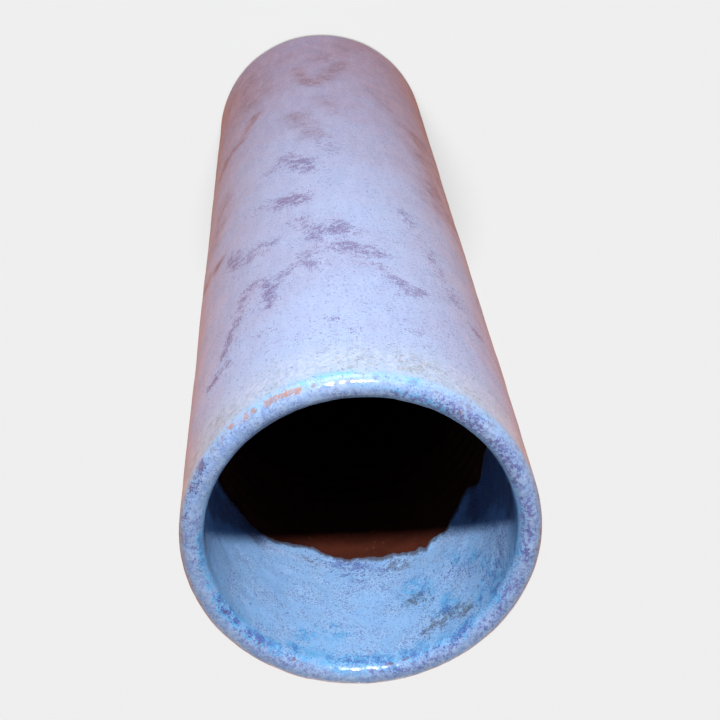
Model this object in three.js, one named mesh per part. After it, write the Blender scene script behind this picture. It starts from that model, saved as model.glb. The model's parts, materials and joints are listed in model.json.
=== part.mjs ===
// Straight-sided ceramic vase: a terracotta tube luted onto a clay base, a satin glaze outside,
// and a second glaze over the lip that runs a little way down the inside.
// Millimetres, +Z up. The origin is the centre of the foot, on the surface the vase stands on.
import * as THREE from 'three';

// Driving dimensions
const height = 225;
const outerRadius = 30;
const wallThickness = 4.2;       // clay and both glaze coats together
const glazeThickness = 0.4;
const coatGap = 0.25;            // clearance between neighbouring solids
const baseThickness = 6;
const footRounding = 4;          // rounded edge under the clay foot
const glazeWipeAngle = 27;       // how far the outer glaze wraps under the rounded foot, in degrees
const lipGlazeHeight = 4;        // how far the mouth glaze laps down the outside from the rim
const segments = 96;             // facets round the vase
const lipSteps = 10;             // facets over the round lip
const footSteps = 6;             // facets round the foot's edge

// Lower edge of the mouth glaze inside the bore: [angle from +X in degrees, depth below the rim].
// The glaze ran to an uneven line, lowest where it dribbled.
const raggedEdge = [
  [7, 30.8], [16, 31.0], [26, 33.1], [48, 33.8], [58, 35.5], [68, 37.3], [77, 34.5],
  [94, 33.8], [104, 33.3], [117, 31.2], [128, 32.0], [136, 35.8], [144, 38.3], [153, 34.2],
  [164, 37.4], [176, 35.6], [192, 34.0], [210, 32.4], [231, 34.6], [250, 33.0], [268, 31.4],
  [289, 33.6], [308, 35.4], [329, 33.2], [346, 31.6],
];

// Derived dimensions
const coatDepth = glazeThickness + coatGap;
const innerRadius = outerRadius - wallThickness;
const clayOuterRadius = outerRadius - coatDepth;
const clayInnerRadius = innerRadius + coatDepth;
const lipRadius = wallThickness / 2;
const lipCentreRadius = outerRadius - lipRadius;
const lipCentreHeight = height - lipRadius;
const footCentreRadius = clayOuterRadius - footRounding;
const wallFootHeight = baseThickness + coatGap;
const mouthGlazeFoot = height - lipGlazeHeight;
const bandFoot = 0;              // height from which the band's edge is moved to the ragged line

const terracotta = new THREE.MeshStandardMaterial({ color: 0x8f4a2c, roughness: 0.85, metalness: 0 });
const lavenderGlaze = new THREE.MeshStandardMaterial({ color: 0xb9c3ea, roughness: 0.45, metalness: 0 });
const skyGlaze = new THREE.MeshStandardMaterial({ color: 0x8db8ea, roughness: 0.2, metalness: 0 });

// Points of an arc about (centreRadius, centreHeight), angles in degrees from the outward direction.
function arc(centreRadius, centreHeight, radius, startAngle, endAngle, steps) {
  const points = [];
  for (let step = 0; step <= steps; step += 1) {
    const angle = THREE.MathUtils.degToRad(startAngle + (endAngle - startAngle) * step / steps);
    const pointRadius = centreRadius + radius * Math.cos(angle);
    const pointHeight = centreHeight + radius * Math.sin(angle);
    points.push(new THREE.Vector2(pointRadius, pointHeight));
  }
  return points;
}

// Turns an outline of (radius, height) points about the vase's axis, +Z up.
function turned(outline) {
  const geometry = new THREE.LatheGeometry(outline, segments);
  geometry.rotateX(Math.PI / 2);
  return geometry;
}

// Depth of the ragged edge below the rim at one angle, on straight runs between its points.
function raggedDepth(angle) {
  const count = raggedEdge.length;
  const turn = 360;
  const start = raggedEdge[0][0];
  const wrapped = start + THREE.MathUtils.euclideanModulo(angle - start, turn);
  for (let index = 0; index < count; index += 1) {
    const [fromAngle, fromDepth] = raggedEdge[index];
    const [nextAngle, toDepth] = raggedEdge[(index + 1) % count];
    const toAngle = index === count - 1 ? nextAngle + turn : nextAngle;
    if (wrapped <= toAngle) {
      const share = (wrapped - fromAngle) / (toAngle - fromAngle);
      return THREE.MathUtils.lerp(fromDepth, toDepth, share);
    }
  }
  return raggedEdge[0][1];
}

// The fired clay tube, with a full-round lip.
function clayWallGeometry() {
  const clayLipRadius = (clayOuterRadius - clayInnerRadius) / 2;
  const outline = [
    new THREE.Vector2(clayInnerRadius, wallFootHeight),
    new THREE.Vector2(clayOuterRadius, wallFootHeight),
    ...arc(lipCentreRadius, lipCentreHeight, clayLipRadius, 0, 180, lipSteps),
    new THREE.Vector2(clayInnerRadius, wallFootHeight),
  ];
  return turned(outline);
}

// The clay slab that closes the tube. Its underside is the foot.
function clayBaseGeometry() {
  const outline = [
    new THREE.Vector2(0, 0),
    ...arc(footCentreRadius, footRounding, footRounding, -90, 0, footSteps),
    new THREE.Vector2(clayOuterRadius, baseThickness),
    new THREE.Vector2(0, baseThickness),
  ];
  return turned(outline);
}

// The coat on the outside, from the rounded foot to just under the lip.
function outerGlazeGeometry() {
  const skinRadius = footRounding + coatDepth;
  const backRadius = footRounding + coatGap;
  const skin = arc(footCentreRadius, footRounding, skinRadius, -glazeWipeAngle, 0, footSteps);
  const back = arc(footCentreRadius, footRounding, backRadius, 0, -glazeWipeAngle, footSteps);
  const top = mouthGlazeFoot - coatGap;
  const outline = [
    ...skin,
    new THREE.Vector2(outerRadius, top),
    new THREE.Vector2(outerRadius - glazeThickness, top),
    ...back,
    skin[0],
  ];
  return turned(outline);
}

// The coat over the lip and down the inside, with its lower edge pulled to the ragged line.
function mouthGlazeGeometry() {
  const backRadius = lipRadius - glazeThickness;
  const skin = arc(lipCentreRadius, lipCentreHeight, lipRadius, 0, 180, lipSteps);
  const back = arc(lipCentreRadius, lipCentreHeight, backRadius, 180, 0, lipSteps);
  const outline = [
    new THREE.Vector2(outerRadius, mouthGlazeFoot),
    ...skin,
    new THREE.Vector2(innerRadius, bandFoot),
    new THREE.Vector2(innerRadius + glazeThickness, bandFoot),
    ...back,
    new THREE.Vector2(outerRadius - glazeThickness, mouthGlazeFoot),
    new THREE.Vector2(outerRadius, mouthGlazeFoot),
  ];
  const geometry = turned(outline);
  const position = geometry.getAttribute('position');
  const halfHeight = height / 2;
  for (let index = 0; index < position.count; index += 1) {
    if (position.getZ(index) < halfHeight) {
      const angle = THREE.MathUtils.radToDeg(Math.atan2(position.getY(index), position.getX(index)));
      position.setZ(index, height - raggedDepth(angle));
    }
  }
  return geometry;
}

function addPiece(group, name, geometry, material) {
  const mesh = new THREE.Mesh(geometry, material);
  mesh.name = name;
  group.add(mesh);
}

const vase = new THREE.Group();
addPiece(vase, 'clay_wall', clayWallGeometry(), terracotta.clone());
addPiece(vase, 'clay_base', clayBaseGeometry(), terracotta.clone());
addPiece(vase, 'outer_glaze', outerGlazeGeometry(), lavenderGlaze);
addPiece(vase, 'mouth_glaze', mouthGlazeGeometry(), skyGlaze);

export default vase;
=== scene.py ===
import json
import math

import bpy
import numpy as np
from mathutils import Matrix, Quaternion, Vector

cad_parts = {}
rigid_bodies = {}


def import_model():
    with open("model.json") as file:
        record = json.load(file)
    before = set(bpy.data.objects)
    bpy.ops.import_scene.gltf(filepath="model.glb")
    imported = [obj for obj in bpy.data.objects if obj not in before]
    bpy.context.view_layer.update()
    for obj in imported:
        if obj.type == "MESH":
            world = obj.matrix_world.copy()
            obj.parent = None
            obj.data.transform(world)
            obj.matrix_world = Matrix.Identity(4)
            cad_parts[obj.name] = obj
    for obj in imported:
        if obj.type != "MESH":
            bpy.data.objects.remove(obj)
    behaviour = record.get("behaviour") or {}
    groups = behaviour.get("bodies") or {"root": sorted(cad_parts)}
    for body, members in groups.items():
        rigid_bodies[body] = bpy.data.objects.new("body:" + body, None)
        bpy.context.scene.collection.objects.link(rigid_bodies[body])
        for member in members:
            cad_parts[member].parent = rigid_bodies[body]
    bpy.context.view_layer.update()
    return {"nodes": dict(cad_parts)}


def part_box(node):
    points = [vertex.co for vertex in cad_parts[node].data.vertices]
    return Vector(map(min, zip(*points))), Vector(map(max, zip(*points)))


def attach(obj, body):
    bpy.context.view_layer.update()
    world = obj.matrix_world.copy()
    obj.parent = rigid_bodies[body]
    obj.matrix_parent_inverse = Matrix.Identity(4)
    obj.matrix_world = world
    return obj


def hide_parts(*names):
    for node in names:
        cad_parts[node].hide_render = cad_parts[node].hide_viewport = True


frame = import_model()
print("frame loaded:", ", ".join(sorted(frame["nodes"])))

mm = 0.001
sharpAngle = math.radians(50)    # steeper folds than this stay crisp
scene = bpy.context.scene
scene.view_settings.view_transform = "Standard"
scene.view_settings.look = "None"

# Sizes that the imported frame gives.
wallLow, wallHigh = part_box("clay_wall")
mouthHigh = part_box("mouth_glaze")[1]
rimHeight = mouthHigh.z
outerRadius = mouthHigh.x
clayRadius = wallHigh.x                      # outside of the clay, under the glaze
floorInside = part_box("clay_base")[1].z       # top of the slab that closes the tube
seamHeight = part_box("outer_glaze")[1].z      # the outer coat ends here and the mouth coat starts


# 0 below low, 1 above high, with a soft rise between.
def smoothStep(low, high, value):
    share = np.clip((value - low) / (high - low), 0.0, 1.0)
    return share * share * (3.0 - 2.0 * share)


# Smooth rolling unevenness made of many small waves in 3-D, so it joins up round the vase.
def rolling(points, size, seed, waves=40):
    pick = np.random.default_rng(seed)
    direction = pick.normal(size=(waves, 3))
    direction /= np.linalg.norm(direction, axis=1)[:, None]
    pitch = 2.0 * math.pi / (size * pick.uniform(0.7, 1.6, waves))
    phase = pick.uniform(0.0, 2.0 * math.pi, waves)
    total = np.zeros(points.shape[:-1])
    for index in range(waves):
        total += np.cos(points @ direction[index] * pitch[index] + phase[index])
    return total * math.sqrt(2.0 / waves)


# Adds up layers of rolling, each given as (height, size, seed).
def layeredRolling(points, layers):
    return sum(height * rolling(points, size, seed) for height, size, seed in layers)


# Angle round the axis from +X, wrapped to the run from -180 to 180 degrees.
def angleBetween(angle, centre):
    return (angle - centre + 180.0) % 360.0 - 180.0


# Joins rings of points, points[row, column] = (x, y, z), into a mesh: closed round each ring and,
# with closeRows, from the last ring back to the first.
def ringMesh(name, points, closeRows=True):
    rows, columns = points.shape[:2]
    index = np.arange(rows * columns).reshape(rows, columns)
    nextColumn = np.roll(index, -1, axis=1)
    below = np.roll(index, -1, axis=0)
    belowNext = np.roll(nextColumn, -1, axis=0)
    last = rows if closeRows else rows - 1
    faces = np.stack([index, nextColumn, belowNext, below], axis=-1)[:last].reshape(-1, 4)
    mesh = bpy.data.meshes.new(name)
    mesh.from_pydata(points.reshape(-1, 3).tolist(), [], faces.tolist())
    return mesh


# Points from a radius, an angle in radians and a height.
def polar(radius, angle, height):
    return np.stack([radius * np.cos(angle), radius * np.sin(angle), height], axis=-1)


# Stores one number for each point, which a material can read by name.
def paint(mesh, name, values):
    layer = mesh.attributes.new(name, "FLOAT", "POINT")
    layer.data.foreach_set("value", np.ascontiguousarray(values, dtype=np.float32).ravel())


# Puts a finished mesh in the scene in place of its node.
def addPiece(name, mesh, node, material):
    mesh.validate()
    mesh.shade_smooth()
    mesh.set_sharp_from_angle(angle=sharpAngle)
    mesh.materials.append(material)
    piece = bpy.data.objects.new(name, mesh)
    scene.collection.objects.link(piece)
    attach(piece, "root")
    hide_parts(node)
    print("made", name, "with", len(mesh.polygons), "faces")


def newMaterial(name):
    material = bpy.data.materials.new(name)
    material.use_nodes = True
    tree = material.node_tree
    return material, tree, tree.nodes["Principled BSDF"]


# Links a socket, or sets a plain value.
def plug(tree, value, socket):
    if isinstance(value, bpy.types.NodeSocket):
        tree.links.new(value, socket)
    else:
        socket.default_value = value


# Where a point is on the vase in metres, stretched if asked.
def position(tree, stretch=(1.0, 1.0, 1.0)):
    coordinates = tree.nodes.new("ShaderNodeTexCoord").outputs["Object"]
    if stretch == (1.0, 1.0, 1.0):
        return coordinates
    scaled = tree.nodes.new("ShaderNodeVectorMath")
    scaled.operation = "MULTIPLY"
    plug(tree, coordinates, scaled.inputs[0])
    scaled.inputs[1].default_value = stretch
    return scaled.outputs[0]


# Noise whose lumps are about size metres across.
def grain(tree, place, size, detail=2.0, rough=0.5, seed=0.0):
    made = tree.nodes.new("ShaderNodeTexNoise")
    made.noise_dimensions = "4D"
    plug(tree, place, made.inputs["Vector"])
    made.inputs["W"].default_value = seed
    made.inputs["Scale"].default_value = 1.0 / size
    made.inputs["Detail"].default_value = detail
    made.inputs["Roughness"].default_value = rough
    return made.outputs["Fac"]


# Round specks about pitch metres apart: distance to the nearest, and two draws of its own.
def specks(tree, place, pitch):
    made = tree.nodes.new("ShaderNodeTexVoronoi")
    plug(tree, place, made.inputs["Vector"])
    made.inputs["Scale"].default_value = 1.0 / pitch
    draws = tree.nodes.new("ShaderNodeSeparateColor")
    plug(tree, made.outputs["Color"], draws.inputs[0])
    return made.outputs["Distance"], draws.outputs[0], draws.outputs[1]


# One sum on numbers, by the operation named.
def sums(tree, operation, first, second=0.0, third=None):
    made = tree.nodes.new("ShaderNodeMath")
    made.operation = operation
    plug(tree, first, made.inputs[0])
    plug(tree, second, made.inputs[1])
    if third is not None:
        plug(tree, third, made.inputs[2])
    return made.outputs[0]


# Soft ramp from toLow at low to toHigh at high.
def between(tree, value, low, high, toLow=0.0, toHigh=1.0):
    made = tree.nodes.new("ShaderNodeMapRange")
    made.interpolation_type = "SMOOTHSTEP"
    plug(tree, value, made.inputs["Value"])
    plug(tree, low, made.inputs["From Min"])
    plug(tree, high, made.inputs["From Max"])
    made.inputs["To Min"].default_value = toLow
    made.inputs["To Max"].default_value = toHigh
    return made.outputs[0]


# Lays the colour over on the colour under, by share.
def tint(tree, share, under, over):
    made = tree.nodes.new("ShaderNodeMix")
    made.data_type = "RGBA"
    plug(tree, share, made.inputs[0])
    for value, socket in ((under, made.inputs[6]), (over, made.inputs[7])):
        plug(tree, (*value, 1.0) if isinstance(value, tuple) else value, socket)
    return made.outputs[2]


# Reads a number stored by paint.
def painted(tree, name):
    made = tree.nodes.new("ShaderNodeAttribute")
    made.attribute_name = name
    return made.outputs["Fac"]


# Stacks bumps, given as (height, distance, strength), on the shader.
def addBumps(tree, shader, layers):
    normal = None
    for height, distance, strength in layers:
        bump = tree.nodes.new("ShaderNodeBump")
        plug(tree, height, bump.inputs["Height"])
        bump.inputs["Distance"].default_value = distance
        bump.inputs["Strength"].default_value = strength
        if normal is not None:
            plug(tree, normal, bump.inputs["Normal"])
        normal = bump.outputs["Normal"]
    plug(tree, normal, shader.inputs["Normal"])


# How strongly a list of marks covers each point (0 to 1 and over).
def covering(marks, angle, down):
    total = np.zeros(angle.shape)
    degreeLength = math.radians(1.0) * outerRadius / mm    # mm of surface in one degree
    for width, strength, path in marks:
        nearest = np.full(angle.shape, 1e9)
        if len(path) == 1:
            path = path * 2
        for (startAngle, startDown), (endAngle, endDown) in zip(path, path[1:]):
            across = angleBetween(angle, startAngle) * degreeLength
            below = down - startDown
            runAcross = (endAngle - startAngle) * degreeLength
            runDown = endDown - startDown
            length2 = max(runAcross ** 2 + runDown ** 2, 1e-6)
            along = np.clip((across * runAcross + below * runDown) / length2, 0.0, 1.0)
            gap = np.hypot(across - along * runAcross, below - along * runDown)
            nearest = np.minimum(nearest, gap)
        total = np.maximum(total, strength * np.exp(-((nearest / (0.62 * width)) ** 2)))
    return total


def paintMarks(mesh, points, over, inside, marks, edgeGap):
    angle = np.degrees(np.arctan2(points[..., 1], points[..., 0]))
    for kind in ("purple", "plum", "violet", "paintedShade", "pool", "olive", "navy", "milkAndGlint", "rust", "bare"):
        paint(mesh, kind, covering(marks.get(kind, []), angle, over))
    paint(mesh, "inside", inside)
    paint(mesh, "over", over)
    paint(mesh, "edgeGap", edgeGap)
    paint(mesh, "mottled", smoothStep(110, 35, np.abs(angleBetween(angle, -178))))


glaze = {
    "lavender": (0.204, 0.292, 0.480),
    "lilac": (0.196, 0.258, 0.425),
    "footGrey": (0.150, 0.154, 0.268),
    "pale": (0.226, 0.335, 0.466),
    # milky white of the glaze, also used for a painted highlight where the inner lower edge curls up
    "milkAndGlint": (0.325, 0.440, 0.665),
    "sky": (0.214, 0.404, 0.678),
    "softSky": (0.268, 0.442, 0.672),
    "pool": (0.105, 0.355, 0.640),
    "deepPool": (0.040, 0.140, 0.400),
    "lip": (0.190, 0.300, 0.545),
    "lipPale": (0.280, 0.375, 0.570),
    "purple": (0.064, 0.066, 0.185),
    "plum": (0.105, 0.085, 0.140),
    "inkDots": (0.035, 0.065, 0.270),
    "freckle": (0.072, 0.135, 0.385),
    "cream": (0.380, 0.450, 0.560),
    "violet": (0.125, 0.125, 0.320),
    # colour of the painted shade on the shadowed inside and on the inner side of the lip
    "paintedShade": (0.050, 0.056, 0.088),
    "khaki": (0.150, 0.160, 0.160),
    "olive": (0.085, 0.088, 0.060),
    "navy": (0.070, 0.085, 0.270),
    "bare": (0.300, 0.165, 0.130),
    "rust": (0.130, 0.055, 0.060),
    "broken": (0.150, 0.115, 0.160),
    "edge": (0.088, 0.092, 0.135),
    "underEdge": (0.030, 0.030, 0.045),
    "bodyRoughness": 0.46,
    "lipRoughness": 0.21,
}


# Sizes in mm of the lumps in each noise of the glaze, from broad to fine, and how far apart specks are.
glazeGrain = {
    "cloud": 26.0,
    "patch": 6.0,
    "streak": 1.8,
    "crumb": 1.6,
    "blot": 0.8,
    "stipple": 0.32,
    "grainy": 0.27,
    "fineSpecks": 0.42,
    "boldSpecks": 0.80,
}


# One glaze for both coats, so that no line shows where they meet.
def glazeMaterial(name):
    material, tree, shader = newMaterial(name)
    place = position(tree)
    inside = painted(tree, "inside")
    over = painted(tree, "over")
    mottled = painted(tree, "mottled")
    size = glazeGrain
    cloud = grain(tree, place, size["cloud"] * mm, detail=3.0, seed=1.0)
    patch = grain(tree, place, size["patch"] * mm, detail=3.0, rough=0.6, seed=2.0)
    crumb = grain(tree, place, size["crumb"] * mm, detail=2.0, rough=0.6, seed=6.0)
    blot = grain(tree, place, size["blot"] * mm, detail=2.0, rough=0.6, seed=8.0)
    stipple = grain(tree, place, size["stipple"] * mm, detail=1.0, rough=0.5, seed=3.0)
    grainy = grain(tree, place, size["grainy"] * mm, detail=1.0, rough=0.5, seed=7.0)
    tall = position(tree, (1.0, 1.0, 0.22))
    streak = grain(tree, tall, size["streak"] * mm, detail=2.0, rough=0.6, seed=5.0)
    fine = specks(tree, place, size["fineSpecks"] * mm)
    bold = specks(tree, position(tree, (0.95, 0.95, 0.9)), size["boldSpecks"] * mm)

    # Body colours: lavender, greyer towards the foot, paler and bluer close to the rim.
    outside = tint(tree, between(tree, cloud, 0.42, 0.62), glaze["lavender"], glaze["lilac"])
    towardFoot = between(tree, over, -215.0, -65.0, 1.0, 0.0)
    outside = tint(tree, towardFoot, outside, glaze["footGrey"])
    nearRim = between(tree, sums(tree, "MULTIPLY_ADD", patch, 24.0, over), -10.0, 12.0)
    outside = tint(tree, nearRim, outside, glaze["pale"])
    within = tint(tree, between(tree, patch, 0.40, 0.60), glaze["sky"], glaze["softSky"])
    colour = tint(tree, inside, outside, within)
    crest = sums(tree, "SUBTRACT", 1.0, between(tree, sums(tree, "ABSOLUTE", over), 0.8, 3.6))
    lip = tint(tree, between(tree, crumb, 0.42, 0.60), glaze["lip"], glaze["lipPale"])
    fleck = between(tree, blot, 0.56, 0.42, 0.0, 0.38)
    colour = tint(tree, crest, colour, tint(tree, fleck, lip, glaze["milkAndGlint"]))
    colour = tint(tree, between(tree, streak, 0.36, 0.66, 0.0, 0.12), colour, glaze["milkAndGlint"])
    colour = tint(tree, between(tree, streak, 0.50, 0.30, 0.0, 0.12), colour, glaze["lilac"])

    # A ring of brighter blue where the glaze has run together below the lip, inside and out.
    ringIn = between(tree, sums(tree, "MULTIPLY_ADD", patch, 14.0, over), 15.5, 8.5, 0.0, 0.55)
    ringIn = sums(tree, "MULTIPLY", ringIn, between(tree, over, 0.8, 2.6))
    ringOut = between(tree, sums(tree, "MULTIPLY_ADD", patch, -12.0, over), -11.5, -8.0, 0.0, 0.34)
    ringOut = sums(tree, "MULTIPLY", ringOut, between(tree, over, -1.0, -2.6))
    ring = sums(tree, "ADD", ringIn, ringOut)
    ring = sums(tree, "MULTIPLY", ring, between(tree, crumb, 0.36, 0.62, 0.45, 1.0))
    colour = tint(tree, ring, colour, glaze["pool"])

    # Every painted mark is crumbled by noise before it is used.
    loose = between(tree, crumb, 0.38, 0.62, 0.35, 1.55)
    ragged = between(tree, patch, 0.38, 0.62, 0.6, 1.35)

    def crumbled(kind):
        return sums(tree, "MULTIPLY", sums(tree, "MULTIPLY", painted(tree, kind), loose), ragged)

    # Pools of brighter blue, darkest in the middle.
    pool = crumbled("pool")
    colour = tint(tree, between(tree, pool, 0.05, 0.85, 0.0, 0.95), colour, glaze["pool"])
    colour = tint(tree, between(tree, pool, 0.8, 1.6, 0.0, 0.8), colour, glaze["deepPool"])

    # Milky patches; the stroke just above the inner lower edge is a painted highlight where the glaze edge
    # curls up.
    colour = tint(tree, between(tree, crumbled("milkAndGlint"), 0.1, 1.0, 0.0, 0.7), colour, glaze["milkAndGlint"])

    # Dots of one layer: crowd is the share of the specks that show, small and large their radius.
    def dotted(layer, crowd, small, large):
        gap, draw, width = layer
        radius = between(tree, width, 0.0, 1.0, small, large)
        spot = between(tree, gap, radius, sums(tree, "MULTIPLY", radius, 0.55))
        return sums(tree, "MULTIPLY", spot, sums(tree, "LESS_THAN", draw, crowd))

    # Soft smudges, painted shade where the inside lies in shadow, then dots that crowd together inside the
    # marks.
    violet = sums(tree, "MULTIPLY", painted(tree, "violet"), between(tree, blot, 0.42, 0.58, 0.1, 1.3))
    violet = sums(tree, "MULTIPLY_ADD", crest, between(tree, blot, 0.47, 0.60, 0.0, 0.30), violet)
    colour = tint(tree, between(tree, violet, 0.0, 1.2, 0.0, 0.9), colour, glaze["violet"])
    # Painted shade: darkens the glaze where the inside of the mouth lies in shadow.
    paintedShade = sums(tree, "MULTIPLY", painted(tree, "paintedShade"), ragged)
    colour = tint(tree, between(tree, paintedShade, 0.05, 1.0, 0.0, 0.92), colour, glaze["paintedShade"])
    plum = sums(tree, "MULTIPLY", painted(tree, "plum"), between(tree, patch, 0.36, 0.64, 0.6, 1.3))
    plum = sums(tree, "MULTIPLY", plum, between(tree, crumb, 0.36, 0.64, 0.75, 1.25))
    colour = tint(tree, between(tree, plum, 0.0, 1.0, 0.0, 0.95), colour, glaze["plum"])
    for kind, share in (("purple", 0.34), ("navy", 0.40), ("olive", 0.45)):
        mark = crumbled(kind)
        colour = tint(tree, between(tree, mark, 0.1, 1.4, 0.0, share), colour, glaze[kind])
        dots = dotted(fine, mark, 0.42, 0.66)
        colour = tint(tree, sums(tree, "MULTIPLY", dots, 0.85), colour, glaze[kind])
        limit = sums(tree, "MULTIPLY_ADD", mark, -0.14, 0.62)
        dots = between(tree, stipple, limit, sums(tree, "ADD", limit, 0.05))
        dots = sums(tree, "MULTIPLY", dots, between(tree, mark, 0.05, 0.5, 0.0, 0.7))
        colour = tint(tree, dots, colour, glaze[kind])

    # Sparse dots everywhere, thicker on the mottled side, fainter on the lip and towards the foot.
    inkColour = tint(tree, sums(tree, "MAXIMUM", inside, crest), glaze["purple"], glaze["inkDots"])
    crowd = sums(tree, "MULTIPLY_ADD", mottled, 0.16, between(tree, patch, 0.44, 0.62, 0.08, 0.38))
    crowd = sums(tree, "ADD", between(tree, over, -60.0, -25.0, 0.0, 0.10), crowd)
    crowd = sums(tree, "MULTIPLY_ADD", inside, 0.06, crowd)
    strength = sums(tree, "MULTIPLY", between(tree, over, -190.0, -100.0, 0.2, 1.0), 0.54)
    strength = sums(tree, "MULTIPLY", strength, sums(tree, "MULTIPLY_ADD", crest, -0.35, 1.0))
    fineDots = dotted(fine, crowd, 0.36, 0.60)
    boldDots = dotted(bold, sums(tree, "MULTIPLY", crowd, 0.55), 0.22, 0.40)
    for dots in (fineDots, boldDots):
        colour = tint(tree, sums(tree, "MULTIPLY", dots, strength), colour, inkColour)
    haze = sums(tree, "MULTIPLY", inside, between(tree, patch, 0.40, 0.60, 0.26, 0.72))
    haze = sums(tree, "MULTIPLY", haze, between(tree, stipple, 0.48, 0.60))
    colour = tint(tree, haze, colour, glaze["freckle"])
    mottle = sums(tree, "MULTIPLY", crest, between(tree, patch, 0.40, 0.60, 0.10, 0.40))
    mottle = sums(tree, "MULTIPLY", mottle, between(tree, stipple, 0.49, 0.60))
    colour = tint(tree, mottle, colour, glaze["navy"])
    colour = tint(tree, between(tree, grainy, 0.50, 0.66, 0.0, 0.42), colour, glaze["milkAndGlint"])

    # A belt of faint khaki freckles a little way below the rim.
    belt = sums(tree, "MULTIPLY", between(tree, over, -17.0, -8.0), between(tree, over, -3.0, -6.0))
    chalk = sums(tree, "MULTIPLY", belt, between(tree, blot, 0.46, 0.60, 0.0, 0.45))
    colour = tint(tree, chalk, colour, glaze["cream"])
    belt = sums(tree, "MULTIPLY", belt, between(tree, patch, 0.42, 0.58, 0.1, 1.0))
    belt = sums(tree, "MULTIPLY", belt, between(tree, crumb, 0.44, 0.62, 0.15, 0.7))
    belt = sums(tree, "MULTIPLY", belt, between(tree, grainy, 0.42, 0.56))
    colour = tint(tree, belt, colour, glaze["khaki"])

    # Bare rusty breaks on the lip and the thin grey lower edge inside.
    breaking = between(tree, sums(tree, "ABSOLUTE", sums(tree, "ADD", over, 1.9)), 0.25, 1.1, 1.0, 0.0)
    breaking = sums(tree, "MULTIPLY", breaking, between(tree, crumb, 0.46, 0.64, 0.0, 0.5))
    colour = tint(tree, breaking, colour, glaze["broken"])
    bare = between(tree, crumbled("bare"), 0.20, 1.30, 0.0, 0.9)
    bare = sums(tree, "MULTIPLY", bare, between(tree, stipple, 0.38, 0.56, 0.45, 1.0))
    colour = tint(tree, bare, colour, glaze["bare"])
    rust = between(tree, crumbled("rust"), 0.35, 1.0)
    colour = tint(tree, sums(tree, "MULTIPLY", rust, 0.8), colour, glaze["rust"])
    gap = sums(tree, "ADD", painted(tree, "edgeGap"), between(tree, crumb, 0.36, 0.64, -0.35, 0.35))
    gap = sums(tree, "ADD", gap, between(tree, patch, 0.38, 0.62, -0.1, 0.9))
    edge = between(tree, gap, 1.15, 2.1, 0.9, 0.0)
    colour = tint(tree, edge, colour, glaze["edge"])
    lowest = between(tree, painted(tree, "edgeGap"), 0.05, 0.55, 0.8, 0.0)
    colour = tint(tree, lowest, colour, glaze["underEdge"])

    plug(tree, colour, shader.inputs["Base Color"])
    roughness = between(tree, crest, 0.0, 1.0, glaze["bodyRoughness"], glaze["lipRoughness"])
    roughness = sums(tree, "ADD", roughness, between(tree, patch, 0.35, 0.65, -0.04, 0.05))
    roughness = sums(tree, "ADD", roughness, sums(tree, "MULTIPLY", rust, 0.3))
    plug(tree, roughness, shader.inputs["Roughness"])
    addBumps(tree, shader, [(crumb, 0.14 * mm, 0.55), (stipple, 0.04 * mm, 0.5)])
    return material


terracotta = {
    "light": (0.070, 0.015, 0.007),
    "dark": (0.048, 0.010, 0.005),
    "grit": (0.025, 0.009, 0.006),
    "sand": (0.120, 0.040, 0.020),
}


def clayMaterial(name):
    material, tree, shader = newMaterial(name)
    place = position(tree)
    body = grain(tree, place, 7 * mm, detail=4.0, seed=11.0)
    grit = grain(tree, place, 0.6 * mm, detail=3.0, rough=0.7, seed=12.0)
    sand = grain(tree, place, 0.9 * mm, detail=1.0, seed=13.0)
    colour = tint(tree, between(tree, body, 0.35, 0.65), terracotta["dark"], terracotta["light"])
    colour = tint(tree, between(tree, grit, 0.60, 0.70, 0.0, 0.6), colour, terracotta["grit"])
    colour = tint(tree, between(tree, sand, 0.70, 0.76, 0.0, 0.6), colour, terracotta["sand"])
    plug(tree, colour, shader.inputs["Base Color"])
    plug(tree, between(tree, grit, 0.3, 0.7, 0.72, 0.95), shader.inputs["Roughness"])
    shader.inputs["Specular IOR Level"].default_value = 0.12
    addBumps(tree, shader, [(body, 0.25 * mm, 0.4), (grit, 0.1 * mm, 0.6)])
    return material


glazeLook = glazeMaterial("lavenderGlaze")
clayLook = clayMaterial("terracotta")
print("glaze and clay materials made")


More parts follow.
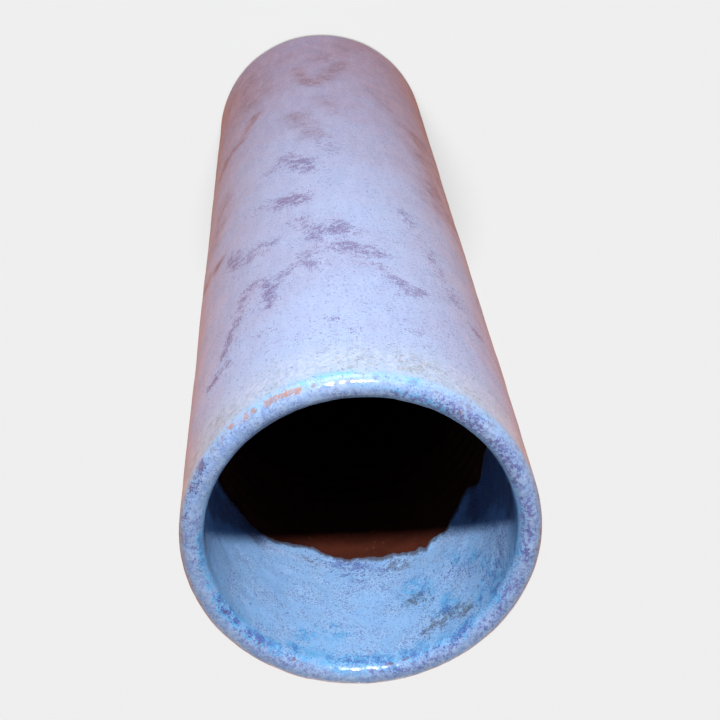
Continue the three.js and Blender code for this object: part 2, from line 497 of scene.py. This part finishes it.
# Marks on the body coat, by kind. Each is a stroke (width in mm, strength, points), and each point is
# (angle from +X in degrees, depth below the rim in mm).
bodyMarks = {
    "purple": [
        (5.0, 1.5, [(-73, 87), (-77, 87), (-80, 85)]),
        (4.0, 0.4, [(-62, 91), (-71, 89)]),
        (3.4, 0.7, [(-77, 74), (-83, 65), (-86, 56)]),
        (4.6, 0.95, [(-87, 66), (-91, 67), (-95, 63)]),
        (4.6, 1.0, [(-94, 55), (-99, 55), (-104, 53)]),
        (3.2, 0.65, [(-101, 48), (-108, 46), (-112, 41)]),
        (2.6, 0.8, [(-112, 42), (-116, 37), (-120, 40)]),
        (3.6, 0.9, [(-86, 56), (-80, 53)]),
        (2.6, 0.9, [(-79, 51), (-83, 47)]),
        (2.4, 0.9, [(-79, 53), (-74, 50), (-70, 47), (-67, 45)]),
        (3.2, 0.9, [(-50, 68), (-47, 75)]),
        (3.0, 0.8, [(-60, 69), (-56, 65)]),
        (2.6, 0.6, [(-67, 67), (-63, 64)]),
        (2.6, 0.95, [(-54, 46), (-55, 50), (-59, 51), (-64, 48), (-66, 41), (-66, 37)]),
        (2.4, 0.85, [(-55, 46), (-52, 41), (-49, 36), (-45, 31)]),
        (2.6, 0.95, [(-48, 25), (-44, 25), (-39, 25)]),
        (1.4, 0.8, [(-64, 27), (-61, 27)]),
        (3.4, 0.5, [(-121, 81), (-124, 72), (-128, 64), (-131, 55), (-136, 45)]),
        (2.0, 0.4, [(-95, 18)]),
        (2.5, 0.5, [(-87, 23)]),
        (1.6, 0.6, [(-114, 20), (-117, 20)]),
        (4.0, 0.7, [(-145, 38)]),
        (5.5, 0.75, [(-74, 115), (-80, 109), (-84, 103)]),
        (4.0, 0.6, [(-67, 111)]),
        (4.5, 0.35, [(-90, 123), (-94, 112)]),
        (5.0, 0.6, [(20, 60), (28, 75), (40, 82)]),
        (4.5, 0.8, [(70, 120), (82, 112), (95, 118), (100, 130)]),
        (5.0, 0.5, [(120, 45), (132, 52), (150, 50)]),
    ],
    "plum": [
        (5.5, 0.65, [(-80, 187), (-84, 175), (-90, 170), (-94, 175), (-99, 183), (-107, 193)]),
        (4.0, 0.9, [(-85, 174), (-90, 171), (-93, 174)]),
        (9.0, 0.5, [(-96, 195), (-106, 209), (-118, 220)]),
        (9.0, 0.4, [(-76, 202)]),
        (17.0, 0.5, [(-45, 202), (-55, 180)]),
        (4.5, 0.8, [(-57, 162), (-47, 152), (-37, 152), (-31, 147)]),
        (7.0, 0.5, [(-79, 146), (-83, 135), (-87, 126)]),
        (6.0, 0.35, [(-91, 157), (-98, 143)]),
        (12.0, 0.6, [(-142, 152), (-147, 124), (-146, 100)]),
        (7.0, 0.4, [(-120, 173), (-127, 158)]),
        (4.5, 0.8, [(-36, 82), (-28, 84), (-22, 85)]),
        (8.0, 0.45, [(-38, 120), (-33, 100)]),
        (9.0, 0.6, [(60, 190), (85, 182), (110, 194)]),
        (5.0, 0.6, [(150, 150), (162, 165), (178, 170)]),
    ],
}

bodyCoat = {
    "columns": 360,
    "rows": 236,
    "footRounding": 4.0 * mm,
    "thickness": 0.55 * mm,
    "wipeAngle": 26.0,      # degrees that the coat wraps under the foot
    "wipeWander": [(2.0, 18 * mm, 8), (0.8, 4 * mm, 9)],    # and how it strays, in degrees
    "unevenness": 0.05 * mm,
    "swell": [(0.6, 34 * mm, 5), (0.4, 11 * mm, 6)],
    "swellLimit": 1.55,
    "noCoatEdge": 99.0,     # told to the glaze where no ragged edge is near
}


# The way over the lip is this much longer (in mm) than the straight drop beside it.
lipExtra = 1.2


def outerSurface(angle, height):
    points = polar(np.full(angle.shape, outerRadius), angle, height)
    swell = np.minimum(layeredRolling(points, bodyCoat["swell"]), bodyCoat["swellLimit"])
    return outerRadius - bodyCoat["unevenness"] * (1.6 - swell)


def makeBodyCoat():
    columns = bodyCoat["columns"]
    theta = np.linspace(0.0, 2.0 * math.pi, columns, endpoint=False)
    footCentre = clayRadius - bodyCoat["footRounding"]
    footHeight = bodyCoat["footRounding"]
    skin = []
    for height in np.linspace(seamHeight, footHeight, bodyCoat["rows"]):    # down the outside
        level = np.full(columns, height)
        skin.append(polar(outerSurface(theta, level), theta, level))
    reach = outerSurface(theta, np.full(columns, footHeight)) - footCentre
    edge = np.stack([np.cos(theta) * outerRadius, np.sin(theta) * outerRadius, np.zeros(columns)], axis=-1)
    wipe = np.radians(bodyCoat["wipeAngle"] + layeredRolling(edge, bodyCoat["wipeWander"]))
    for share in np.linspace(0.0, 1.0, 9)[1:]:         # round the edge of the foot
        tilt = wipe * share
        skin.append(polar(footCentre + reach * np.cos(tilt), theta, footHeight - reach * np.sin(tilt)))
    thickness = bodyCoat["thickness"]
    for turn in np.linspace(20, 160, 6):               # rolled lower edge
        lift = thickness / 2 * (1.0 - math.cos(math.radians(turn)))
        roll = thickness / 2 * math.sin(math.radians(turn)) / (reach - lift)
        skin.append(polar(footCentre + (reach - lift) * np.cos(wipe + roll), theta,
                          footHeight - (reach - lift) * np.sin(wipe + roll)))
    for share in (1.0, 0.5, 0.0):                      # and back up against the clay
        tilt = wipe * share
        skin.append(polar(footCentre + (reach - thickness) * np.cos(tilt), theta,
                          footHeight - (reach - thickness) * np.sin(tilt)))
    for height in (0.3 * seamHeight, 0.6 * seamHeight, seamHeight):
        level = np.full(columns, height)
        skin.append(polar(outerSurface(theta, level) - thickness, theta, level))
    points = np.stack(skin)
    mesh = ringMesh("outerGlaze", points)
    flat = np.zeros(points.shape[:2])
    over = -(rimHeight - points[..., 2]) / mm - lipExtra
    outsideMarks = {}
    for kind, marks in bodyMarks.items():
        outsideMarks[kind] = []
        for width, strength, path in marks:
            lowered = [(turn, -drop - lipExtra) for turn, drop in path]
            outsideMarks[kind].append((width, strength, lowered))
    paintMarks(mesh, points, over, flat, outsideMarks, flat + bodyCoat["noCoatEdge"])
    addPiece("outerGlaze", mesh, "outer_glaze", glazeLook)


# Marks on the mouth coat. Here a point's second number runs over the lip in mm, from the crest of the
# lip down the inside when positive and down the outside when negative.
mouthMarks = {
    "pool": [
        (6.0, 0.9, [(140, 6.5), (146, 5.0)]),
        (2.6, 1.0, [(132, 3.2), (126, 2.6), (118, 3.0)]),
        (3.2, 0.9, [(110, 3.6), (103, 3.4)]),
        (4.5, 1.0, [(121, 12.5), (124, 10.0)]),
        (6.0, 0.8, [(109, 21.5), (112, 18.5)]),
        (3.4, 0.95, [(97, 2.8), (84, 3.0), (70, 3.4), (60, 4.2)]),
        (6.0, 0.5, [(64, 9.0), (76, 11.0)]),
        (2.4, 0.95, [(52, 2.8), (41, 2.4), (30, 2.2), (20, 2.0)]),
        (2.0, 0.7, [(14, 2.0), (2, 2.0), (-8, 2.0)]),
        (3.4, 0.7, [(165, 3.4), (178, 3.2), (190, 3.0)]),
        (4.0, 0.5, [(230, 7.0), (262, 8.0), (300, 7.0)]),
        (2.6, 0.45, [(-60, -2.6), (-74, -3.0), (-86, -3.6), (-92, -3.0)]),
        (2.2, 0.45, [(-100, -2.4), (-112, -2.2)]),
        (1.6, 0.45, [(-92, -1.0), (-112, 0.2), (-125, 1.0)]),
        (4.0, 0.6, [(136, 21), (143, 15), (149, 9)]),
        (3.4, 0.5, [(127, 27), (132, 22)]),
        (4.0, 0.6, [(149, 5.5), (158, 5.0), (168, 4.4)]),
    ],
    "olive": [
        (3.2, 1.0, [(108, 18.0), (113, 16.4)]),
        (3.0, 1.3, [(114, 8.2), (120, 8.6), (126, 8.6), (131, 7.2)]),
        (1.6, 0.9, [(122, 9.2), (127, 9.4)]),
        (3.8, 0.6, [(103, 30.6), (109, 30.2), (114, 31.0)]),
        (1.8, 0.9, [(113, 32.0), (116, 31.5)]),
        (1.2, 1.0, [(120, 33.2), (122, 32.6)]),
        (1.2, 0.7, [(64, 33.4), (69, 32.2)]),
        (3.4, 0.25, [(-66, -8.0), (-86, -8.4), (-107, -8.0)]),
    ],
    "milkAndGlint": [
        # painted highlight: a bright line just above the lower edge, where the glaze edge curls up
        (1.8, 1.0, [(46, 31.5), (56, 33.0), (66, 32.6), (74, 31.6)]),
        (6.0, 0.5, [(118, 27), (126, 28.5), (134, 26)]),
        (4.0, 0.5, [(40, -3.4), (90, -4.0), (140, -3.4)]),
    ],
    "navy": [
        (3.2, 0.95, [(77, 32.6), (83, 33.0), (89, 32.0)]),
        (3.0, 0.7, [(83, 29.5), (87, 28.0)]),
        (3.4, 0.55, [(92, 31.5), (97, 30.0)]),
        (5.0, 0.38, [(143, 9), (154, 8), (163, 14), (153, 20)]),
        (5.0, 0.36, [(128, 20), (136, 17), (142, 13)]),
        (1.0, 0.8, [(110, 2.2), (122, 1.9), (131, 2.2)]),
        (0.9, 0.9, [(20, 1.9), (33, 2.0), (47, 2.2)]),
    ],
    "rust": [
        (0.7, 1.0, [(6, 1.0)]),
        (0.5, 0.8, [(26, 1.7)]),
        (0.6, 0.8, [(44, 1.4)]),
        (0.8, 1.0, [(59, 1.8)]),
        (0.5, 0.9, [(62, 1.2)]),
        (0.45, 0.62, [(94, 2.2), (99, 2.2), (104, 2.5)]),
        (0.6, 0.7, [(133, 2.2)]),
        (0.9, 0.8, [(-31, -1.2), (-28, -1.8)]),
    ],
    "bare": [
        (1.0, 1.2, [(-51, -2.2), (-54, -2.0), (-60, -2.0)]),
        (1.2, 1.25, [(-64, -2.2), (-69, -2.2), (-75, -1.9)]),
        (0.7, 0.8, [(-80, -1.9)]),
        (0.6, 0.9, [(-128, -0.2)]),
    ],
    "violet": [
        (1.2, 0.4, [(-85, 0.7), (-98, 0.9)]),
        (1.6, 0.6, [(-104, 0.5), (-117, 0.6)]),
        (2.3, 1.1, [(-121, 0.2), (-130, 0.5), (-137, 0.3)]),
        (2.2, 1.0, [(-144, 0.6), (-153, 0.4), (-162, 0.8)]),
        (2.2, 0.8, [(-170, 0.5), (-182, 0.9), (-194, 0.6)]),
        (1.8, 0.6, [(158, 0.4), (146, 1.0), (134, 0.8)]),
        (1.6, 0.5, [(122, 1.0), (106, 0.6), (88, 1.2)]),
        (1.6, 0.4, [(72, 0.4), (52, 1.2), (34, 0.6)]),
        (1.6, 0.4, [(-18, 0.8), (2, 0.5)]),
    ],
    # Painted shade: dark strokes down both sides of the inside where it lies in shadow, and along the
    # inner side of the lip.
    "paintedShade": [
        (8.0, 1.4, [(150, 31), (158, 27), (170, 22), (178, 12)]),
        (8.0, 1.4, [(153, 37), (164, 34), (178, 29)]),
        (8.5, 1.3, [(-6, 22), (6, 22), (20, 31), (34, 34)]),
        (1.5, 0.75, [(-22, 2.7), (-48, 2.2), (-90, 1.7), (-102, 1.8)]),
    ],
    "purple": [
        (1.3, 1.3, [(-26, -1.4), (-36, -1.8)]),
        (1.1, 1.1, [(-16, -1.2), (-23, -1.5)]),
    ],
}

mouthCoat = {
    "columns": 720,
    "wall": 4.2 * mm,          # through the lip, glaze and clay together
    "insideRows": 62,
    "lipRows": 28,
    "thickness": 0.5 * mm,
    "lipLumps": [(0.05 * mm, 6 * mm, 23), (0.03 * mm, 2.2 * mm, 24), (0.010 * mm, 1.2 * mm, 27)],
    "lipLumpLimit": 0.04 * mm,
    "lipRoom": 0.05 * mm,      # left above the crest for the lumps
    "insideSwell": [(0.07 * mm, 14 * mm, 25), (0.03 * mm, 4 * mm, 26)],
    "edgeWander": [(0.20 * mm, 4.5 * mm, 21), (0.11 * mm, 1.3 * mm, 22)],
    "edgeBead": 0.10 * mm,     # how far the glaze stands thicker just above its lower edge
    "beadPlace": 0.96,         # as a share of the way down
    "beadSpread": 0.03,
    # Lower edge inside: (angle from +X in degrees, depth below the rim in mm)
    "raggedEdge": [
        (7, 33.0), (16, 33.4), (26, 34.4), (48, 33.8), (58, 35.5), (68, 37.3), (77, 34.5),
        (94, 33.8), (104, 33.3), (112, 32.2), (115, 33.0), (117, 30.6), (119, 32.6), (123, 32.8),
        (128, 31.8), (131, 34.1), (135, 35.6), (139, 37.6), (144, 38.3), (149, 35.8), (153, 34.2),
        (164, 37.4), (176, 35.6), (192, 34.0), (210, 32.4), (231, 34.6), (250, 33.0), (268, 31.4),
        (289, 33.6), (308, 35.4), (329, 33.2), (346, 31.6),
    ],
}


def makeMouthCoat():
    columns = mouthCoat["columns"]
    theta = np.linspace(0.0, 2.0 * math.pi, columns, endpoint=False)
    degrees = np.degrees(theta)
    lipRadius = mouthCoat["wall"] / 2
    lipCentre = outerRadius - lipRadius
    lipHeight = rimHeight - lipRadius
    innerRadius = outerRadius - mouthCoat["wall"]
    ragged = mouthCoat["raggedEdge"]
    edgeAngles = [turn for turn, drop in ragged]
    edgeDepths = [drop for turn, drop in ragged]
    ring = polar(np.full(columns, innerRadius), theta, np.zeros(columns))
    edgeDepth = np.interp(degrees, edgeAngles, edgeDepths, period=360) * mm
    edgeDepth = sum(np.roll(edgeDepth, shift) for shift in range(-3, 4)) / 7.0
    edgeDepth += layeredRolling(ring, mouthCoat["edgeWander"])
    edgeHeight = rimHeight - edgeDepth
    thickness = mouthCoat["thickness"]

    rows, inside, over = [], [], []
    for height in np.linspace(seamHeight, lipHeight, 5)[:-1]:          # up the outside
        rows.append(polar(outerSurface(theta, np.full(columns, height)), theta, np.full(columns, height)))
        inside.append(0.0)
        over.append(np.full(columns, -(rimHeight - height) / mm - lipExtra))
    outerEdge = outerSurface(theta, np.full(columns, lipHeight)) - lipCentre
    for turn in np.linspace(0.0, math.pi, mouthCoat["lipRows"]):       # over the lip
        share = turn / math.pi
        ringReach = outerEdge * (1.0 - share) + lipRadius * share
        radius = lipCentre + ringReach * math.cos(turn)
        height = lipHeight + (lipRadius - mouthCoat["lipRoom"]) * math.sin(turn)
        here = polar(radius, theta, np.full(columns, height))
        lump = layeredRolling(here, mouthCoat["lipLumps"])
        lump = np.minimum(lump, mouthCoat["lipLumpLimit"]) * math.sin(turn)
        rows.append(polar(radius + lump * math.cos(turn), theta, height + lump * math.sin(turn)))
        inside.append(float(smoothStep(0.6, 0.85, share)))
        over.append(np.full(columns, (turn - math.pi / 2) * lipRadius / mm))
    for share in np.linspace(0.0, 1.0, mouthCoat["insideRows"])[1:]:   # down the inside
        height = lipHeight + (edgeHeight + thickness / 2 - lipHeight) * share
        here = polar(np.full(columns, innerRadius), theta, height)
        swell = layeredRolling(here, mouthCoat["insideSwell"])
        away = (share - mouthCoat["beadPlace"]) / mouthCoat["beadSpread"]
        bead = -mouthCoat["edgeBead"] * math.exp(-(away ** 2))
        radius = innerRadius + (swell + bead) * smoothStep(0.0, 0.12, share)
        rows.append(polar(radius, theta, height))
        inside.append(1.0)
        over.append((rimHeight - height) / mm + lipExtra)
    lastRadius = radius
    beadTop = edgeHeight + thickness / 2
    for turn in np.linspace(20, 160, 7):               # rolled lower edge
        drop = thickness / 2 * math.sin(math.radians(turn))
        back = thickness / 2 * (1.0 - math.cos(math.radians(turn)))
        rows.append(polar(lastRadius + back, theta, beadTop - drop))
        inside.append(1.0)
        over.append((rimHeight - beadTop + drop) / mm + lipExtra)
    for share in np.linspace(0.0, 1.0, 5):             # and back against the clay
        height = beadTop + (lipHeight - beadTop) * share
        rows.append(polar(np.full(columns, innerRadius + thickness), theta, height))
        inside.append(1.0)
        over.append((rimHeight - height) / mm + lipExtra)
    for turn in np.linspace(math.pi, 0.0, 9)[1:]:
        reach = lipRadius - thickness
        rows.append(polar(np.full(columns, lipCentre + reach * math.cos(turn)), theta,
                          np.full(columns, lipHeight + reach * math.sin(turn))))
        inside.append(0.0)
        over.append(np.zeros(columns))
    rows.append(polar(np.full(columns, outerRadius - thickness), theta, np.full(columns, seamHeight)))
    inside.append(0.0)
    over.append(np.full(columns, -(rimHeight - seamHeight) / mm - lipExtra))
    points = np.stack(rows)
    mesh = ringMesh("mouthGlaze", points)
    within = np.repeat(np.array(inside)[:, None], columns, axis=1)
    edgeGap = np.where(within > 0.5, (points[..., 2] - edgeHeight[None, :]) / mm, bodyCoat["noCoatEdge"])
    paintMarks(mesh, points, np.stack(over), within, mouthMarks, edgeGap)
    addPiece("mouthGlaze", mesh, "mouth_glaze", glazeLook)


underGlaze = 0.1 * mm         # the clay stays this far inside its coats


clayWall = {
    "columns": 360,
    "rows": 230,
    "boreRadius": 26.25 * mm,
    "ringPitch": 4.6 * mm,     # throwing lines
    "ringDepth": 0.09 * mm,
    "ringTop": 30 * mm,        # the lines start this far below the rim
    "ringFade": 12 * mm,
    "ringWander": 30 * mm,     # size of the sways in the lines
    "unevenness": 0.05 * mm,
    "unevenSize": 9 * mm,
}


def makeClayWall():
    columns = clayWall["columns"]
    theta = np.linspace(0.0, 2.0 * math.pi, columns, endpoint=False)
    flat = np.ones(columns)
    bore = clayWall["boreRadius"]
    skinRadius = clayRadius - underGlaze
    top = wallHigh.z - (skinRadius - bore) / 2
    rows = []
    for height in np.linspace(wallLow.z, top, clayWall["rows"]):    # up the bore
        here = polar(bore * flat, theta, height * flat)
        climb = 2.0 * math.pi * height / clayWall["ringPitch"]
        groove = np.cos(theta + climb + rolling(here, clayWall["ringWander"], 31))
        uneven = clayWall["unevenness"] * rolling(here, clayWall["unevenSize"], 32)
        wave = clayWall["ringDepth"] * groove + uneven
        wave = wave * smoothStep(0.0, clayWall["ringFade"], rimHeight - clayWall["ringTop"] - height)
        rows.append(polar(bore + wave, theta, height * flat))
    lipReach = (skinRadius - bore) / 2
    for turn in np.linspace(math.pi, 0.0, 12)[1:]:                  # over the top
        rows.append(polar((bore + lipReach + lipReach * math.cos(turn)) * flat, theta,
                          (top + lipReach * math.sin(turn)) * flat))
    for height in np.linspace(top, wallLow.z, 8)[1:]:               # down the outside
        rows.append(polar(skinRadius * flat, theta, height * flat))
    mesh = ringMesh("clayWall", np.stack(rows))
    addPiece("clayWall", mesh, "clay_wall", clayLook)


clayFoot = {
    "columns": 240,
    "rounding": 4.0 * mm,
    "ringPitch": 1.6 * mm,
    "ringDepth": 0.05 * mm,
    "ringFade": 3 * mm,
    "unevenness": 0.03 * mm,
    "unevenSize": 7 * mm,
    "centre": 0.4 * mm,           # radius of the innermost ring
    "insideRingPitch": 3.2 * mm,
    "insideRingDepth": 0.12 * mm,
    "insideRingFade": 6 * mm,
}


def makeClayFoot():
    columns = clayFoot["columns"]
    theta = np.linspace(0.0, 2.0 * math.pi, columns, endpoint=False)
    flat = np.ones(columns)
    rounding = clayFoot["rounding"]
    radius = clayRadius - underGlaze
    flatRadius = radius - rounding
    rows = []
    for reach in np.linspace(clayFoot["centre"], flatRadius, 70):      # under the foot, outwards
        here = polar(reach * flat, theta, 0.0 * flat)
        groove = 0.5 + 0.5 * np.cos(theta + 2.0 * math.pi * reach / clayFoot["ringPitch"])
        uneven = 1.0 + np.maximum(rolling(here, clayFoot["unevenSize"], 41), -2.0) * 0.5
        hollow = clayFoot["ringDepth"] * groove + clayFoot["unevenness"] * uneven
        hollow *= smoothStep(0.0, clayFoot["ringFade"], flatRadius - reach)
        rows.append(polar(reach * flat, theta, hollow))
    for turn in np.linspace(-90, 0, 14)[1:]:                           # its rounded edge
        angle = math.radians(turn)
        rows.append(polar((flatRadius + rounding * math.cos(angle)) * flat, theta,
                          (rounding + rounding * math.sin(angle)) * flat))
    rows.append(polar(radius * flat, theta, floorInside * flat))
    for reach in np.linspace(radius, clayFoot["centre"], 50)[1:]:      # the floor inside, inwards
        groove = 0.5 + 0.5 * np.cos(theta - 2.0 * math.pi * reach / clayFoot["insideRingPitch"])
        sink = clayFoot["insideRingDepth"] * groove
        sink *= smoothStep(0.0, clayFoot["insideRingFade"], radius - reach)
        rows.append(polar(reach * flat, theta, floorInside - sink))
    points = np.stack(rows)
    mesh = ringMesh("clayFootRings", points, closeRows=False)
    corners = points.reshape(-1, 3).tolist()
    count = len(corners)
    under = points[0].mean(axis=0).tolist()
    over = points[-1].mean(axis=0).tolist()
    lastRow = (points.shape[0] - 1) * columns
    faces = [list(face.vertices) for face in mesh.polygons]
    for column in range(columns):                      # close the middle, below and above
        following = (column + 1) % columns
        faces.append([count, following, column])
        faces.append([count + 1, lastRow + column, lastRow + following])
    closed = bpy.data.meshes.new("clayFoot")
    closed.from_pydata(corners + [under, over], [], faces)
    bpy.data.meshes.remove(mesh)
    addPiece("clayFoot", closed, "clay_base", clayLook)


makeClayWall()
makeClayFoot()
makeBodyCoat()
makeMouthCoat()


studio = {
    "paper": 0.858,             # brightness of the floor and backdrop
    "paperShade": 0.12,         # share of the light that the floor gives back
    "paperGlow": 0.40,          # share of its brightness that shadows do not touch
    "paperReach": 5.0,
    "sunFrom": (0.010, -0.15, 1.0),
    "sunAngle": 9.0,
    "lowRoom": (0.40, 0.27, 0.20),      # what lights the vase softly from below
    "lowGloss": (0.86, 0.26, 0.02),     # what the glaze mirrors low down, far from the mouth
    "nearGloss": (1.88, 0.54, 0.05),    # and nearer to the mouth
    "nearBand": (-0.93, -0.85, -0.83, -0.79),    # steepness at which nearGloss rises and falls
    "highRoom": (0.05, 0.045, 0.045),
    "horizon": (-0.12, 0.02),           # steepness at which lowRoom gives way to highRoom
}

# Lights on the vase. Each looks from side (degrees from +X) and lift (degrees above level) at
# distance from a point on the axis, centre high, towards one that is aim high.
vaseLights = {
    "keyLight": {"side": -94.2, "lift": 35.2, "distance": 0.45, "centre": rimHeight,
                 "aim": rimHeight * 0.7, "power": 3.7, "size": 0.035, "colour": (1.0, 1.0, 1.0),
                 "mirrored": True},
    "frontFill": {"side": -85, "lift": 0, "distance": 0.40, "centre": 0.09, "aim": 0.10,
                  "power": 1.15, "size": 0.20, "colour": (1.0, 1.0, 1.0), "mirrored": True},
    "backFill": {"side": 90, "lift": 4, "distance": 0.7, "centre": 0.12, "aim": 0.11,
                 "power": 11.5, "size": 0.30, "colour": (1.0, 0.88, 0.70), "mirrored": False},
    "warmRight": {"side": 32, "lift": 0, "distance": 0.35, "centre": 0.15, "aim": 0.13,
                  "power": 0.75, "size": 0.16, "colour": (1.0, 0.60, 0.42), "mirrored": False},
    "warmLeft": {"side": 148, "lift": 0, "distance": 0.35, "centre": 0.15, "aim": 0.13,
                 "power": 0.38, "size": 0.16, "colour": (1.0, 0.60, 0.42), "mirrored": False},
}


def makeFloor():
    mesh = bpy.data.meshes.new("paperFloor")
    reach = studio["paperReach"]
    corners = [(-reach, -reach, 0), (reach, -reach, 0), (reach, reach, 0), (-reach, reach, 0)]
    mesh.from_pydata(corners, [], [(0, 1, 2, 3)])
    material, tree, shader = newMaterial("paleFloor")
    fibre = grain(tree, position(tree), 40 * mm, detail=2.0, seed=51.0)
    shade = studio["paperShade"]
    plug(tree, tint(tree, fibre, (shade * 0.995,) * 3, (shade * 1.005,) * 3), shader.inputs["Base Color"])
    shader.inputs["Emission Color"].default_value = (1.0, 1.0, 1.0, 1.0)
    shader.inputs["Emission Strength"].default_value = studio["paper"] * studio["paperGlow"]
    shader.inputs["Roughness"].default_value = 0.9
    shader.inputs["Specular IOR Level"].default_value = 0.0
    mesh.materials.append(material)
    floor = bpy.data.objects.new("paperFloor", mesh)
    scene.collection.objects.link(floor)
    floor.visible_diffuse = False
    floor.visible_glossy = False
    return floor


def makeLight(name, kind, place, target, power, size=None, colour=(1, 1, 1)):
    data = bpy.data.lights.new(name, kind)
    data.energy = power
    data.color = colour
    if kind == "AREA":
        data.shape = "DISK"
        data.size = size
    if kind == "SUN":
        data.angle = size
    light = bpy.data.objects.new(name, data)
    light.location = place
    light.rotation_mode = "QUATERNION"
    light.rotation_quaternion = (Vector(target) - Vector(place)).to_track_quat("-Z", "Y")
    scene.collection.objects.link(light)
    return light


# A place at distance from centre, seen from it in the given direction.
def around(azimuth, heightAngle, distance, centre):
    a, e = math.radians(azimuth), math.radians(heightAngle)
    heading = Vector((math.cos(a) * math.cos(e), math.sin(a) * math.cos(e), math.sin(e)))
    return Vector(centre) + distance * heading


floor = makeFloor()
lights = []
for name, setup in vaseLights.items():
    place = around(setup["side"], setup["lift"], setup["distance"], (0, 0, setup["centre"]))
    light = makeLight(name, "AREA", place, (0, 0, setup["aim"]), setup["power"], setup["size"],
                      setup["colour"])
    light.visible_glossy = setup["mirrored"]
    lights.append(light)
sunPower = studio["paper"] * (1.0 - studio["paperGlow"]) * math.pi / studio["paperShade"]
overhead = makeLight("paperLight", "SUN", studio["sunFrom"], (0, 0, 0), sunPower,
                     math.radians(studio["sunAngle"]))

# The lamps light only the vase and the sun lights only the floor.
vaseOnly = bpy.data.collections.new("vaseOnly")
paperOnly = bpy.data.collections.new("paperOnly")
for item in scene.collection.objects:
    if item.type == "MESH" and item is not floor:
        vaseOnly.objects.link(item)
paperOnly.objects.link(floor)
for light in lights:
    light.light_linking.receiver_collection = vaseOnly
overhead.light_linking.receiver_collection = paperOnly
print("made the floor and", len(lights) + 1, "lights")


# The room: pale where the camera looks, faint above the horizon, warm and low below it.
def makeRoom():
    world = bpy.data.worlds.new("softRoom")
    scene.world = world
    world.use_nodes = True
    tree = world.node_tree
    tree.nodes.clear()
    seen = tree.nodes.new("ShaderNodeBackground")
    seen.inputs["Color"].default_value = (studio["paper"],) * 3 + (1.0,)
    heading = tree.nodes.new("ShaderNodeSeparateXYZ")
    plug(tree, tree.nodes.new("ShaderNodeTexCoord").outputs["Generated"], heading.inputs[0])
    upward = between(tree, heading.outputs["Z"], *studio["horizon"])
    unseen = tree.nodes.new("ShaderNodeBackground")
    rays = tree.nodes.new("ShaderNodeLightPath")
    start, full, fading, end = studio["nearBand"]
    rising = between(tree, heading.outputs["Z"], start, full)
    near = sums(tree, "MULTIPLY", rising, between(tree, heading.outputs["Z"], end, fading))
    gloss = tint(tree, near, studio["lowGloss"], studio["nearGloss"])
    low = tint(tree, rays.outputs["Is Glossy Ray"], studio["lowRoom"], gloss)
    plug(tree, tint(tree, upward, low, studio["highRoom"]), unseen.inputs["Color"])
    choose = tree.nodes.new("ShaderNodeMixShader")
    plug(tree, rays.outputs["Is Camera Ray"], choose.inputs[0])
    plug(tree, unseen.outputs[0], choose.inputs[1])
    plug(tree, seen.outputs[0], choose.inputs[2])
    plug(tree, choose.outputs[0], tree.nodes.new("ShaderNodeOutputWorld").inputs[0])
    print("room made")


makeRoom()


cameraSetup = {
    "lens": 73.15,
    "sensorWidth": 36.0,
    "distance": 0.2407,        # from the centre of the mouth
    "heightAngle": 56.76,
    "aim": (-0.00326, 0.0, 0.15787),
    "roll": 173.03,
}


def makeCamera():
    data = bpy.data.cameras.new("camera")
    data.lens = cameraSetup["lens"]
    data.sensor_width = cameraSetup["sensorWidth"]
    camera = bpy.data.objects.new("camera", data)
    scene.collection.objects.link(camera)
    camera.location = around(-90.0, cameraSetup["heightAngle"], cameraSetup["distance"],
                             (0.0, 0.0, rimHeight))
    look = (Vector(cameraSetup["aim"]) - camera.location).to_track_quat("-Z", "Y")
    camera.rotation_mode = "QUATERNION"
    camera.rotation_quaternion = look @ Quaternion((0, 0, 1), math.radians(cameraSetup["roll"]))
    scene.camera = camera
    print("camera set")


makeCamera()
